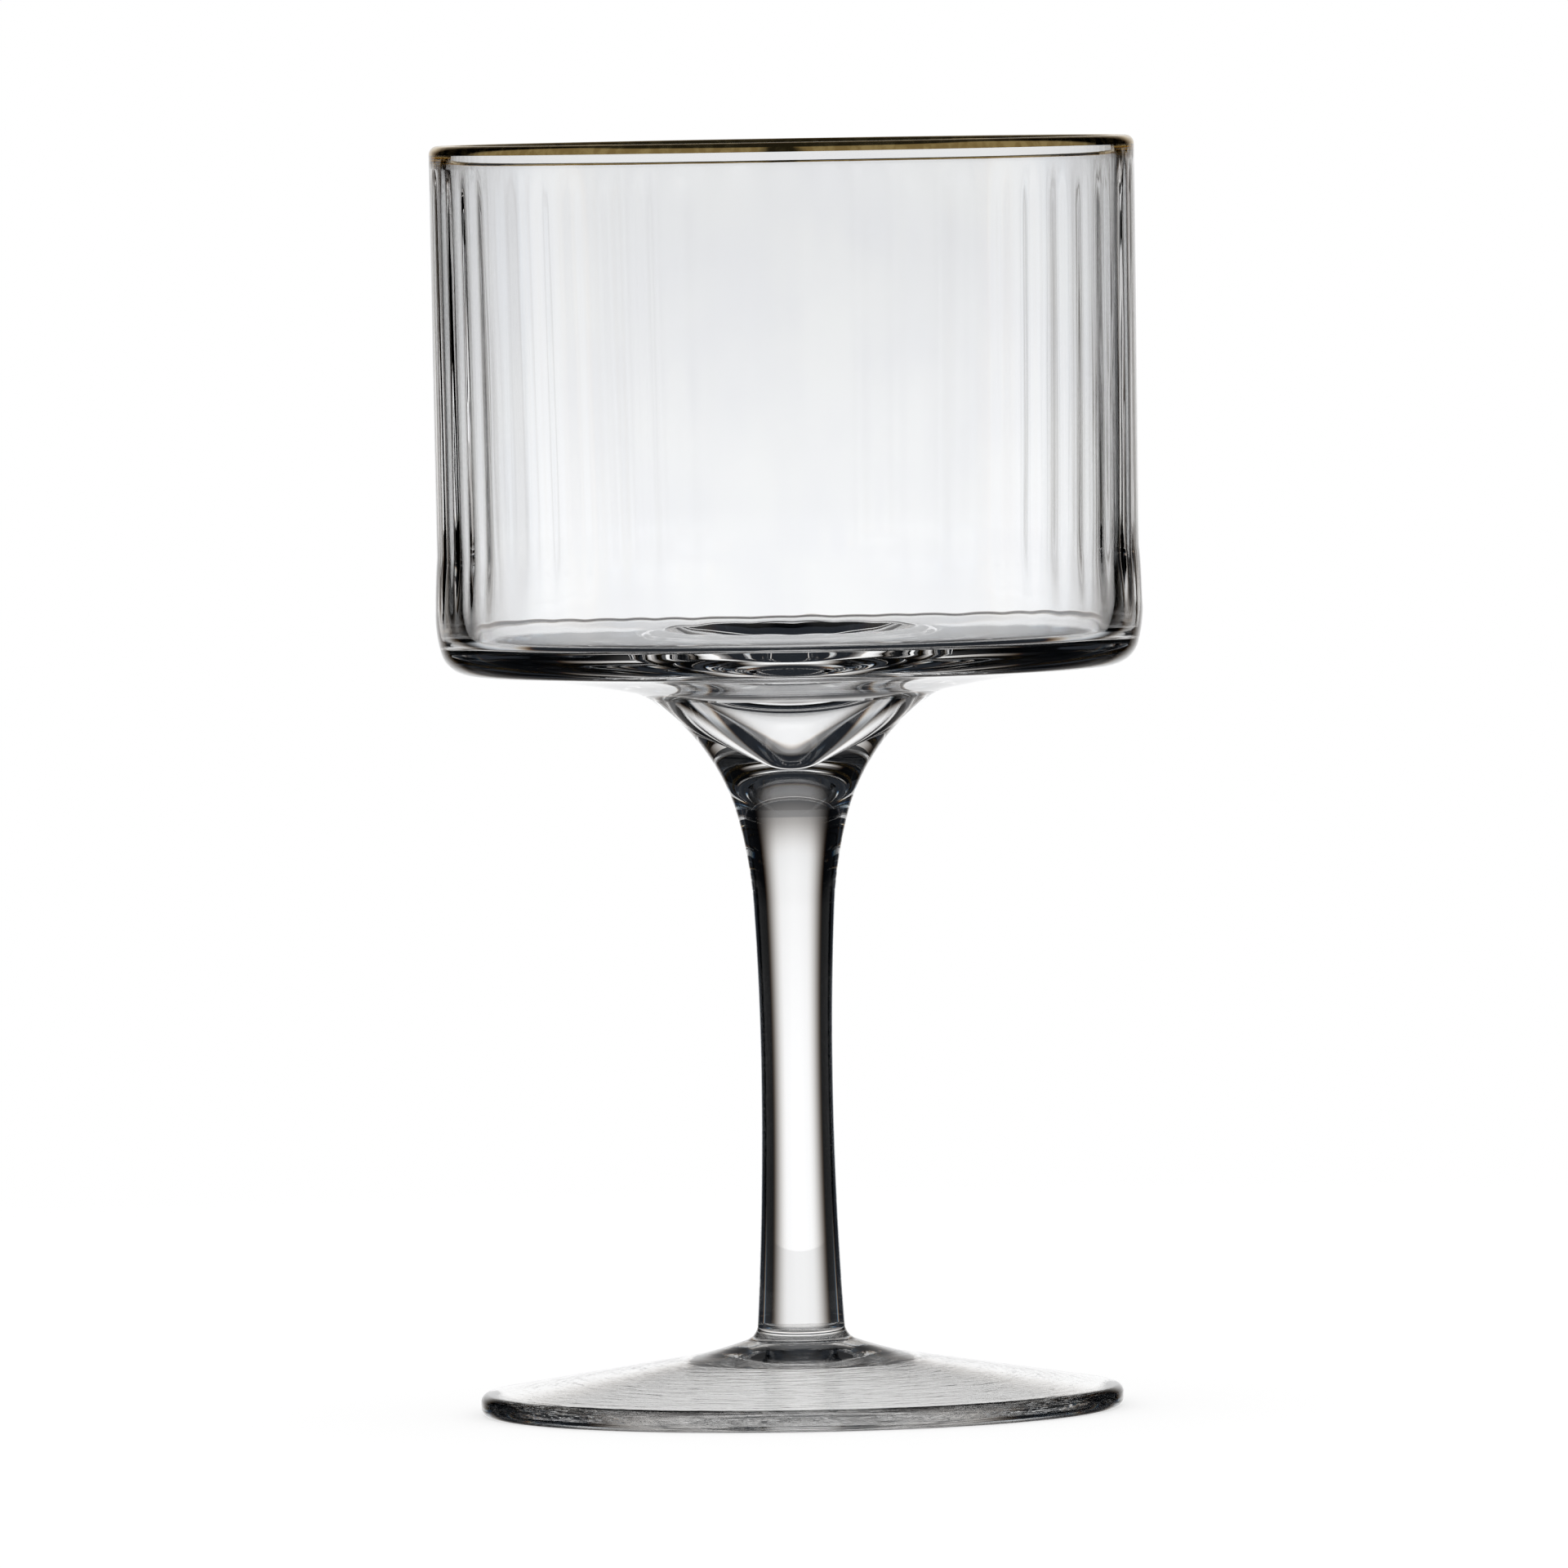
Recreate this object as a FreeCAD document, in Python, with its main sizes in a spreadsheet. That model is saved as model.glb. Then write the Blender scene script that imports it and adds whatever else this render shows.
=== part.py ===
"""Stemmed coupe glass: a straight-sided bowl on a drawn stem and a flat foot.

Six pieces, as a glass-blower makes them: the blown bowl, the collar of glass gathered
under it, the drawn stem, the small join button, the cast foot, and the fired gold band
over the lip. Every glass piece is hot-fused to its neighbour, so neighbours meet face
to face. All sizes are in millimetres; the glass stands on z = 0 and +Z is its axis.
"""
import FreeCAD, Part

import math
import os

import Sketcher

DRIVING_SIZES = {
    # whole glass
    "total_height": 158.0,
    # lip and gold band
    "rim_radius": 43.8,
    "lip_round": 1.1,
    "band_depth": 1.15,
    "gold_film": 0.12,
    "bead_depth": 0.13,
    "bead_length": 1.8,
    "bead_round": 12.5,
    # outside of the bowl
    "waist_radius": 43.65,
    "waist_height": 107.0,
    "belly_radius": 44.0,
    "belly_height": 99.6,
    "belly_upper_round": 78.4,
    "belly_lower_round": 17.6,
    "heel_side_radius": 43.38,
    "heel_side_height": 95.08,
    "heel_round": 3.9,
    "heel_bottom_radius": 39.85,
    "heel_bottom_height": 92.2,
    "underside_round": 150.0,
    "shoulder_radius": 20.0,
    "shoulder_height": 89.75,
    "shoulder_round": 7.0,
    # inside of the bowl
    "cavity_radius": 40.55,
    "belly_inside_round": 13.7,
    "belly_turn_sine": 0.25038,
    "belly_turn_cosine": 0.96815,
    "cavity_corner_round": 1.5,
    "floor_height": 96.05,
    "dimple_tip_height": 81.7,
    "dimple_tip_round": 3.4,
    "dimple_edge_round": 1.2,
    "slope_sine": 0.70711,
    # seam between the bowl and its collar
    "nub_bottom_height": 80.6,
    "nub_side_radius": 8.5,
    "nub_side_height": 84.6,
    "collar_top_radius": 17.4,
    "collar_top_height": 88.75,
    "collar_round": 26.0,
    # stem
    "stem_top_radius": 7.1,
    "stem_top_height": 75.0,
    "stem_dome_height": 76.2,
    "neck_round": 55.0,
    "neck_radius": 5.0,
    "neck_height": 62.0,
    "stem_upper_round": 377.0,
    "stem_waist_radius": 4.47,
    "stem_waist_height": 42.0,
    "stem_lower_round": 510.0,
    "stem_base_radius": 5.45,
    "stem_base_height": 10.4,
    # join button and foot
    "join_round": 2.2,
    "join_base_radius": 6.9,
    "join_base_height": 8.8,
    "foot_flare_round": 60.0,
    "foot_cone_radius": 12.5,
    "foot_cone_height": 7.15,
    "foot_top_radius": 38.95,
    "foot_top_height": 2.75,
    "foot_upper_round": 1.05,
    "foot_radius": 40.0,
    "foot_side_top_height": 1.72,
    "foot_lower_round": 1.0,
    "rest_ring_width": 1.5,
    "hollow_side_radius": 14.0,
    "hollow_side_height": 3.95,
    "hollow_height": 4.3,
}


class Measure:
    """A length with its number and the sheet formula that drives it."""

    def __init__(self, number, formula):
        self.number = number
        self.formula = formula

    def _joined(self, other, sign, number):
        return Measure(number, f"({self.formula} {sign} {other.formula})")

    def __add__(self, other):
        return self._joined(other, "+", self.number + other.number)

    def __sub__(self, other):
        return self._joined(other, "-", self.number - other.number)

    def __mul__(self, other):
        return self._joined(other, "*", self.number * other.number)


class Bend:
    """An outline side that is an arc, and whether the path turns left along it.

    An arc with no radius is a cap: one end is on the axis, and so is its centre.
    """

    def __init__(self, turns_left, radius=None):
        self.turns_left = turns_left
        self.radius = radius


LEFT_CAP = Bend(True)
RIGHT_CAP = Bend(False)


def left(radius):
    """Give an arc that turns left along the path."""
    return Bend(True, radius)


def right(radius):
    """Give an arc that turns right along the path."""
    return Bend(False, radius)


def make_sheet(doc):
    """Write the driving sizes to a spreadsheet and give each as a Measure."""
    sheet = doc.addObject("Spreadsheet::Sheet", "sizes")
    measures = {}
    for row, (alias, number) in enumerate(DRIVING_SIZES.items(), start=1):
        sheet.set(f"A{row}", alias)
        sheet.set(f"B{row}", str(number))
        sheet.setAlias(f"B{row}", alias)
        measures[alias] = Measure(number, f"sizes.{alias}")
    doc.recompute()
    return measures


def origin_plane(body, role):
    """Find one of a body's own origin planes by its role."""
    return next(plane for plane in body.Origin.OriginFeatures if plane.Role == role)


def arc_between(start, end, bend):
    """Work out the circle arc from start to end that turns the way bend says."""
    chord = end - start
    half = chord.Length / 2
    radius = bend.radius.number if bend.radius else 2 * half ** 2 / abs(chord.y)
    rise = math.sqrt(radius ** 2 - half ** 2)
    side = FreeCAD.Vector(-chord.y, chord.x, 0).normalize()
    centre = start + chord * 0.5 + side * (rise if bend.turns_left else -rise)
    first, last = (start, end) if bend.turns_left else (end, start)
    angles = [math.atan2(point.y - centre.y, point.x - centre.x) for point in (first, last)]
    circle = Part.Circle(centre, FreeCAD.Vector(0, 0, 1), radius)
    return Part.ArcOfCircle(circle, *angles)


def bind(sketch, constraint, name, measure):
    """Add a dimension to a sketch and drive it from the sheet."""
    index = sketch.addConstraint(constraint)
    sketch.renameConstraint(index, name)
    sketch.setExpression(f"Constraints.{name}", measure.formula)


def place_corner(sketch, side, point, number, radius, height):
    """Hold one corner of the outline at its radius and height."""
    if radius is None:
        sketch.addConstraint(Sketcher.Constraint("PointOnObject", side, point, -2))
    else:
        across = Sketcher.Constraint("DistanceX", -1, 1, side, point, radius.number)
        bind(sketch, across, f"radius_{number}", radius)
    if height is None:
        sketch.addConstraint(Sketcher.Constraint("PointOnObject", side, point, -1))
    else:
        up = Sketcher.Constraint("DistanceY", -1, 1, side, point, height.number)
        bind(sketch, up, f"height_{number}", height)


def draw_outline(sketch, path):
    """Draw a closed outline in a sketch and drive it from the sheet.

    path holds (radius, height) corners, with a Bend between two corners joined by an
    arc. None as a radius is the axis, and None as a height is the ground.
    """
    corners = [step for step in path if not isinstance(step, Bend)]
    bends = []
    for index, step in enumerate(path):
        if not isinstance(step, Bend):
            following = path[(index + 1) % len(path)]
            bends.append(following if isinstance(following, Bend) else None)
    points = []
    for radius, height in corners:
        across = radius.number if radius else 0.0
        points.append(FreeCAD.Vector(across, height.number if height else 0.0, 0))
    ends = []
    for index, bend in enumerate(bends):
        start, end = points[index], points[(index + 1) % len(points)]
        curve = arc_between(start, end, bend) if bend else Part.LineSegment(start, end)
        side = sketch.addGeometry(curve, False)
        ends.append((2, 1) if bend and not bend.turns_left else (1, 2))
        if bend and bend.radius:
            rounding = Sketcher.Constraint("Radius", side, bend.radius.number)
            bind(sketch, rounding, f"round_{index}", bend.radius)
        elif bend:
            sketch.addConstraint(Sketcher.Constraint("PointOnObject", side, 3, -2))
    for index, (radius, height) in enumerate(corners):
        before = (index - 1) % len(corners)
        joined = Sketcher.Constraint("Coincident", before, ends[before][1], index, ends[index][0])
        sketch.addConstraint(joined)
        place_corner(sketch, index, ends[index][0], index, radius, height)


def turned_piece(doc, label, path):
    """Make a body of revolution about Z from its half outline."""
    body = doc.addObject("PartDesign::Body", label)
    body.Label = label
    body.Placement = FreeCAD.Placement()
    sketch = body.newObject("Sketcher::SketchObject", f"{label}_outline")
    sketch.AttachmentSupport = [(origin_plane(body, "XZ_Plane"), "")]
    sketch.MapMode = "FlatFace"
    draw_outline(sketch, path)
    doc.recompute()
    turned = body.newObject("PartDesign::Revolution", f"{label}_turned")
    turned.Profile = sketch
    turned.ReferenceAxis = (sketch, ["V_Axis"])
    turned.Angle = 360.0
    sketch.Visibility = False
    body.Tip = turned
    return body


def gold_band_path(size):
    """Give the gold film that folds over the lip, outside and inside."""
    lip_centre = size["rim_radius"] - size["lip_round"]
    lip_inside = lip_centre - size["lip_round"]
    lip_height = size["total_height"] - size["lip_round"]
    band_base = size["total_height"] - size["band_depth"]
    film = size["gold_film"]
    glass_round = size["lip_round"] - film
    return [
        (size["rim_radius"], band_base),
        (size["rim_radius"], lip_height), left(size["lip_round"]),
        (lip_centre, size["total_height"]), left(size["lip_round"]),
        (lip_inside, lip_height),
        (lip_inside, band_base),
        (lip_inside + film, band_base),
        (lip_inside + film, lip_height), right(glass_round),
        (lip_centre, size["total_height"] - film), right(glass_round),
        (size["rim_radius"] - film, lip_height),
        (size["rim_radius"] - film, band_base),
    ]


def lip_path(size):
    """Give the bowl's glass lip under the gold band, from outside to inside."""
    lip_centre = size["rim_radius"] - size["lip_round"]
    lip_inside = lip_centre - size["lip_round"]
    lip_height = size["total_height"] - size["lip_round"]
    band_base = size["total_height"] - size["band_depth"]
    film = size["gold_film"]
    glass_round = size["lip_round"] - film
    bead_end = band_base - size["bead_length"]
    return [
        (size["rim_radius"], band_base),
        (size["rim_radius"] - film, band_base),
        (size["rim_radius"] - film, lip_height), left(glass_round),
        (lip_centre, size["total_height"] - film), left(glass_round),
        (lip_inside + film, lip_height),
        (lip_inside + film, band_base),
        (lip_inside, band_base), right(size["bead_round"]),
        (lip_inside + size["bead_depth"], bead_end),
    ]


def bowl_cavity_path(size):
    """Give the bowl's inside, from the foot of the wall to the tip of the dimple.

    The wall follows the belly with a wide arc first, and the tight corner arc takes over
    from it where the wall has turned by the angle of belly_turn_sine.
    """
    corner = size["cavity_corner_round"]
    wide = size["belly_inside_round"]
    turn_radius = size["cavity_radius"] - wide + wide * size["belly_turn_cosine"]
    turn_height = size["floor_height"] + corner - corner * size["belly_turn_sine"]
    sine = size["slope_sine"]
    tip_round = size["dimple_tip_round"]
    edge_round = size["dimple_edge_round"]
    tip_side_radius = tip_round * sine
    tip_side_height = size["dimple_tip_height"] + tip_round - tip_side_radius
    edge_low_height = size["floor_height"] - edge_round + edge_round * sine
    edge_low_radius = tip_side_radius + edge_low_height - tip_side_height
    return [
        (size["cavity_radius"], turn_height + wide * size["belly_turn_sine"]), right(wide),
        (turn_radius, turn_height), right(corner),
        (turn_radius - corner * size["belly_turn_cosine"], size["floor_height"]),
        (edge_low_radius + edge_round * sine, size["floor_height"]), left(edge_round),
        (edge_low_radius, edge_low_height),
        (tip_side_radius, tip_side_height), RIGHT_CAP,
        (None, size["dimple_tip_height"]),
    ]


def bowl_outside_path(size):
    """Give the bowl's outside, from the nub under its dimple up to the lip."""
    return [
        (None, size["nub_bottom_height"]), LEFT_CAP,
        (size["nub_side_radius"], size["nub_side_height"]),
        (size["collar_top_radius"], size["collar_top_height"]), right(size["shoulder_round"]),
        (size["shoulder_radius"], size["shoulder_height"]), right(size["underside_round"]),
        (size["heel_bottom_radius"], size["heel_bottom_height"]), left(size["heel_round"]),
        (size["heel_side_radius"], size["heel_side_height"]), left(size["belly_lower_round"]),
        (size["belly_radius"], size["belly_height"]), left(size["belly_upper_round"]),
        (size["waist_radius"], size["waist_height"]),
    ]


def collar_path(size):
    """Give the solid funnel of glass that carries the bowl on its nub."""
    return [
        (None, size["stem_dome_height"]), RIGHT_CAP,
        (size["stem_top_radius"], size["stem_top_height"]), right(size["collar_round"]),
        (size["collar_top_radius"], size["collar_top_height"]),
        (size["nub_side_radius"], size["nub_side_height"]), RIGHT_CAP,
        (None, size["nub_bottom_height"]),
    ]


def stem_path(size):
    """Give the drawn stem, widest at its domed top and narrowest a little below half way."""
    return [
        (None, size["stem_base_height"]),
        (size["stem_base_radius"], size["stem_base_height"]), right(size["stem_lower_round"]),
        (size["stem_waist_radius"], size["stem_waist_height"]), right(size["stem_upper_round"]),
        (size["neck_radius"], size["neck_height"]), right(size["neck_round"]),
        (size["stem_top_radius"], size["stem_top_height"]), LEFT_CAP,
        (None, size["stem_dome_height"]),
    ]


def join_path(size):
    """Give the small button of glass that fuses the stem to the foot."""
    return [
        (None, size["join_base_height"]),
        (size["join_base_radius"], size["join_base_height"]), right(size["join_round"]),
        (size["stem_base_radius"], size["stem_base_height"]),
        (None, size["stem_base_height"]),
    ]


def foot_path(size):
    """Give the foot: a shallow cone of even thickness, which stands on a flat rest ring."""
    rest_outside = size["foot_radius"] - size["foot_lower_round"]
    return [
        (rest_outside, None), left(size["foot_lower_round"]),
        (size["foot_radius"], size["foot_lower_round"]),
        (size["foot_radius"], size["foot_side_top_height"]), left(size["foot_upper_round"]),
        (size["foot_top_radius"], size["foot_top_height"]),
        (size["foot_cone_radius"], size["foot_cone_height"]), right(size["foot_flare_round"]),
        (size["join_base_radius"], size["join_base_height"]),
        (None, size["join_base_height"]),
        (None, size["hollow_height"]), RIGHT_CAP,
        (size["hollow_side_radius"], size["hollow_side_height"]),
        (rest_outside - size["rest_ring_width"], None),
    ]


def check_document(doc, bodies):
    """Stop if any object failed or any piece is not one valid solid."""
    for item in doc.Objects:
        if "Invalid" in item.State or "Error" in item.State:
            raise RuntimeError(f"{item.Name} failed: {item.State}")
    for body in bodies:
        shape = body.Shape
        if shape.isNull() or not shape.isValid() or len(shape.Solids) != 1:
            raise RuntimeError(f"{body.Label} is not one valid solid")


def main():
    """Build the glass and write each piece to its own file."""
    doc = FreeCAD.newDocument("coupe_glass")
    size = make_sheet(doc)
    bowl_path = bowl_outside_path(size) + lip_path(size) + bowl_cavity_path(size)
    outlines = {
        "gold_rim": gold_band_path(size),
        "bowl": bowl_path,
        "stem_collar": collar_path(size),
        "stem": stem_path(size),
        "foot_join": join_path(size),
        "foot": foot_path(size),
    }
    bodies = [turned_piece(doc, label, path) for label, path in outlines.items()]
    doc.recompute()
    check_document(doc, bodies)
    os.makedirs("parts", exist_ok=True)
    for body in bodies:
        body.Shape.exportStep(f"parts/{body.Label}.step")
        print(body.Label, round(body.Shape.Volume, 1), "mm3", body.Shape.optimalBoundingBox())


main()
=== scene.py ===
"""The looks of a stemmed coupe glass: a ribbed blown bowl with a gold lip, a drawn stem, a cast foot.

Every glass piece is drawn as half a section in the XZ plane and turned round the glass's axis. The
bowl then gets its ribs and the small unevenness that blowing leaves. Where two pieces were fused hot,
both have the same seam surface, and light goes straight through it. All lengths are in metres.
"""
import logging
import math
from collections.abc import Callable
from dataclasses import dataclass, field
from enum import Enum

import bpy
from mathutils import Euler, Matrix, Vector


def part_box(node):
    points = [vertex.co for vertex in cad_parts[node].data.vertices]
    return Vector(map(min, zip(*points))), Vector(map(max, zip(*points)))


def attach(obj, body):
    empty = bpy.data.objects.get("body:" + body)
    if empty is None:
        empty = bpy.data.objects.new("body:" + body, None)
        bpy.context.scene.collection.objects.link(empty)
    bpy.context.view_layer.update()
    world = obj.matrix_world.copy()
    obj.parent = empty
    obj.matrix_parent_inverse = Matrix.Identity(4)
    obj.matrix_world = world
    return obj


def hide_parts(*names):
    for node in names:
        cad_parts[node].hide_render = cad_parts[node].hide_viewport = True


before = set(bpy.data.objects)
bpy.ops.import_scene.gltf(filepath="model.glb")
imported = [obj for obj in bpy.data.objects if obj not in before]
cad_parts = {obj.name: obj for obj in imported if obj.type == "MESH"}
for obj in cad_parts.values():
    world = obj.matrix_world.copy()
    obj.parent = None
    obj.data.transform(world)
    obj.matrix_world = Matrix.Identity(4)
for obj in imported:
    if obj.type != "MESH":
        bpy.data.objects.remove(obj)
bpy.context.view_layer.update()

MM = 0.001
DEGREES = 180.0 / math.pi
ROUND_STEPS = 480
WELD = 2e-3 * MM
SHARP_ANGLE = math.radians(28)
FACING_UP = 0.98
FACING_DOWN = -0.9
WHITE = (1.0, 1.0, 1.0, 1.0)

log = logging.getLogger("coupe")


class Turn(Enum):
    """The way an outline bends along an arc."""

    LEFT = 1.0
    RIGHT = -1.0


class Ray(Enum):
    """The kinds of ray that a surface or the studio can tell apart."""

    CAMERA = "Is Camera Ray"
    GLOSSY = "Is Glossy Ray"
    TRANSMISSION = "Is Transmission Ray"


# ---------------------------------------------------------------- shader maths


class Signal:
    """A shader socket that Python's operators work on, one Math node for each operator."""

    def __init__(self, shader: "Shader", socket: bpy.types.NodeSocket) -> None:
        """Wrap a socket of a shader's tree."""
        self.shader = shader
        self.socket = socket

    def maths(self, operation: str, *others: "Signal | float", clamp: bool = False) -> "Signal":
        """Send this value and others through one Math node.

        Args:
            operation: The Math node's operation.
            others: The further values.
            clamp: Whether the result is held between 0 and 1.

        Returns:
            The node's result.
        """
        settings = {"operation": operation, "use_clamp": clamp}
        return self.shader.add("ShaderNodeMath", settings, [self, *others])["Value"]

    def __add__(self, other: "Signal | float") -> "Signal":
        """Give self + other."""
        return self.maths("ADD", other)

    def __sub__(self, other: "Signal | float") -> "Signal":
        """Give self - other."""
        return self.maths("SUBTRACT", other)

    def __mul__(self, other: "Signal | float") -> "Signal":
        """Give self * other."""
        return self.maths("MULTIPLY", other)

    def __rsub__(self, other: float) -> "Signal":
        """Give other - self."""
        return (self * -1.0) + other

    __radd__ = __add__
    __rmul__ = __mul__

    def ramp(self, low: float, high: float) -> "Signal":
        """Rise smoothly from 0 to 1 as the value goes from low to high, or fall where low is the larger.

        Args:
            low: The value that gives 0.
            high: The value that gives 1.

        Returns:
            The smooth step.
        """
        sockets = {"From Min": low, "From Max": high} if low < high else {
            "From Min": high, "From Max": low, "To Min": 1.0, "To Max": 0.0}
        settings = {"interpolation_type": "SMOOTHSTEP"}
        return self.shader.add("ShaderNodeMapRange", settings, {"Value": self, **sockets})["Result"]


class Shader:
    """The node tree of one material or world, emptied and ready to be filled."""

    def __init__(self, owner: bpy.types.Material | bpy.types.World) -> None:
        """Take over the node tree of a material or a world.

        Args:
            owner: The material or world.
        """
        owner.use_nodes = True
        self.tree = owner.node_tree
        self.tree.nodes.clear()

    def add(self, kind: str, settings: dict, sockets: dict | list) -> "Outputs":
        """Add a node, set it up, and fill its sockets.

        Args:
            kind: The node's type name.
            settings: The node's own settings, set first.
            sockets: Values or Signals for its inputs, by name or in order.

        Returns:
            The node's outputs.
        """
        node = self.tree.nodes.new(kind)
        for name, value in settings.items():
            setattr(node, name, value)
        pairs = sockets.items() if isinstance(sockets, dict) else enumerate(sockets)
        for name, value in pairs:
            if isinstance(value, Signal):
                self.tree.links.new(value.socket, node.inputs[name])
            else:
                node.inputs[name].default_value = value
        return Outputs(self, node)

    def mix_colour(self, factor: Signal | float, low: Signal | tuple, high: Signal | tuple) -> Signal:
        """Blend two colours.

        Args:
            factor: 0 for the low colour, 1 for the high one.
            low: The colour at 0.
            high: The colour at 1.

        Returns:
            The blended colour.
        """
        mix = self.tree.nodes.new("ShaderNodeMix")
        mix.data_type = "RGBA"
        for socket, value in zip((mix.inputs[0], mix.inputs[6], mix.inputs[7]), (factor, low, high)):
            if isinstance(value, Signal):
                self.tree.links.new(value.socket, socket)
            else:
                socket.default_value = value
        return Signal(self, mix.outputs[2])

    def place(self) -> Signal:
        """Give the place on the piece, in metres."""
        return self.add("ShaderNodeTexCoord", {}, {})["Object"]

    def seen_by(self, *kinds: Ray) -> Signal:
        """Tell some kinds of ray from the others.

        Args:
            kinds: The kinds of ray.

        Returns:
            1 for a ray of any of these kinds, and 0 for the others.
        """
        path = self.add("ShaderNodeLightPath", {}, {})
        total = path[kinds[0].value]
        for kind in kinds[1:]:
            total = total.maths("MAXIMUM", path[kind.value])
        return total


class Outputs:
    """The outputs of one node, by name."""

    def __init__(self, shader: Shader, node: bpy.types.Node) -> None:
        """Keep the node and its shader."""
        self.shader = shader
        self.node = node

    def __getitem__(self, name: str) -> Signal:
        """Give one output as a Signal."""
        return Signal(self.shader, self.node.outputs[name])


# ---------------------------------------------------------------- finishes


@dataclass(frozen=True)
class ClearGlass:
    """Soda-lime glass, clear, with faint streaks, slow waves and perhaps fine drawn lines.

    line_waves says how fast the lines change across the piece, up it and out from its axis.
    """

    name: str
    tint: tuple[float, float, float]
    streak: float = 0.02
    line_depth: float = 0.0
    line_waves: tuple[float, float, float] = (0.0, 0.0, 0.0)
    line_low: float = -10 * MM
    line_fade: float = 10 * MM
    wave_size: float = 9 * MM
    wave_depth: float = 0.004 * MM
    flat_waves: float = 1.0
    streak_edges: tuple[float, float] = (0.35, 0.65)
    index: float = 1.5

    def material(self) -> bpy.types.Material:
        """Make the Blender material.

        Returns:
            The material.
        """
        made = bpy.data.materials.new(self.name)
        shader = Shader(made)
        place = shader.add("ShaderNodeMapping", {}, {
            "Vector": shader.place(), "Scale": (1.0, 1.0, self.flat_waves)})["Vector"]
        noise = {"Vector": place, "Scale": 1 / self.wave_size, "Detail": 1.5, "Roughness": 0.4}
        waves = shader.add("ShaderNodeTexNoise", {}, noise)["Fac"]
        clear = tuple(min(1.0, part + self.streak) for part in self.tint)
        colour = shader.mix_colour(waves.ramp(*self.streak_edges), (*self.tint, 1.0), (*clear, 1.0))
        bump = shader.add("ShaderNodeBump", {}, {
            "Height": waves, "Strength": 1.0, "Distance": self.wave_depth})["Normal"]
        if self.line_depth:
            bump = self.lines(shader, bump)
        glass = shader.add("ShaderNodeBsdfPrincipled", {}, {
            "Base Color": colour, "Normal": bump, "Roughness": 0.0, "IOR": self.index,
            "Transmission Weight": 1.0})["BSDF"]
        shader.add("ShaderNodeOutputMaterial", {}, {"Surface": glass})
        return made

    def lines(self, shader: Shader, under: Signal) -> Signal:
        """Add fine broken lines, drawn out up a wall or round a turned mould.

        Args:
            shader: The material's nodes.
            under: The normal that the lines are added to.

        Returns:
            The normal with the lines.
        """
        across, up, out = self.line_waves
        part = shader.add("ShaderNodeSeparateXYZ", {}, {"Vector": shader.place()})
        radius = (part["X"] * part["X"] + part["Y"] * part["Y"]).maths("SQRT")
        drawn = shader.add("ShaderNodeCombineXYZ", {}, [
            part["X"] * across, part["Y"] * across, part["Z"] * up + radius * out])["Vector"]
        noise = {"Vector": drawn, "Scale": 1.0, "Detail": 2.0, "Roughness": 0.6}
        lines = shader.add("ShaderNodeTexNoise", {}, noise)["Fac"]
        lines = lines * part["Z"].ramp(self.line_low, self.line_low + self.line_fade)
        return shader.add("ShaderNodeBump", {}, {
            "Height": lines, "Strength": 1.0, "Distance": self.line_depth, "Normal": under})["Normal"]


@dataclass(frozen=True)
class FusedSeam:
    """The surface where two pieces were fused hot: light goes straight on."""

    name: str = "fused_seam"

    def material(self) -> bpy.types.Material:
        """Make the Blender material.

        Returns:
            The material.
        """
        made = bpy.data.materials.new(self.name)
        shader = Shader(made)
        open_way = shader.add("ShaderNodeBsdfTransparent", {}, {})["BSDF"]
        shader.add("ShaderNodeOutputMaterial", {}, {"Surface": open_way})
        return made


@dataclass(frozen=True)
class FiredGold:
    """Liquid gold fired onto the lip: bright, with thin places and a few specks."""

    name: str = "fired_gold"
    thick: tuple[float, float, float] = (0.83, 0.60, 0.24)
    thin: tuple[float, float, float] = (0.62, 0.42, 0.15)
    thin_roughness: float = 0.06
    thick_roughness: float = 0.13
    grain: float = 700.0
    cover_edges: tuple[float, float] = (0.4, 0.62)
    grain_depth: float = 0.01 * MM

    def material(self) -> bpy.types.Material:
        """Make the Blender material.

        Returns:
            The material.
        """
        made = bpy.data.materials.new(self.name)
        shader = Shader(made)
        noise = {"Vector": shader.place(), "Scale": self.grain, "Detail": 3.0}
        brushed = shader.add("ShaderNodeTexNoise", {}, noise)["Fac"]
        cover = brushed.ramp(*self.cover_edges)
        colour = shader.mix_colour(cover, (*self.thin, 1.0), (*self.thick, 1.0))
        roughness = self.thin_roughness + cover * (self.thick_roughness - self.thin_roughness)
        bump = shader.add("ShaderNodeBump", {}, {
            "Height": brushed, "Strength": 0.4, "Distance": self.grain_depth})["Normal"]
        gold = shader.add("ShaderNodeBsdfPrincipled", {}, {
            "Base Color": colour, "Metallic": 1.0, "Roughness": roughness, "Normal": bump})["BSDF"]
        shader.add("ShaderNodeOutputMaterial", {}, {"Surface": gold})
        return made


# ---------------------------------------------------------------- drawing and turning


@dataclass(frozen=True)
class NodeBox:
    """How far one CAD node reaches: its largest radius, and its lowest and highest places."""

    radius: float
    low: float
    high: float

    @classmethod
    def of(cls, node: str) -> "NodeBox":
        """Measure a CAD node in the frame."""
        lowest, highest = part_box(node)
        return cls(highest.x, lowest.z, highest.z)


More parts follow.
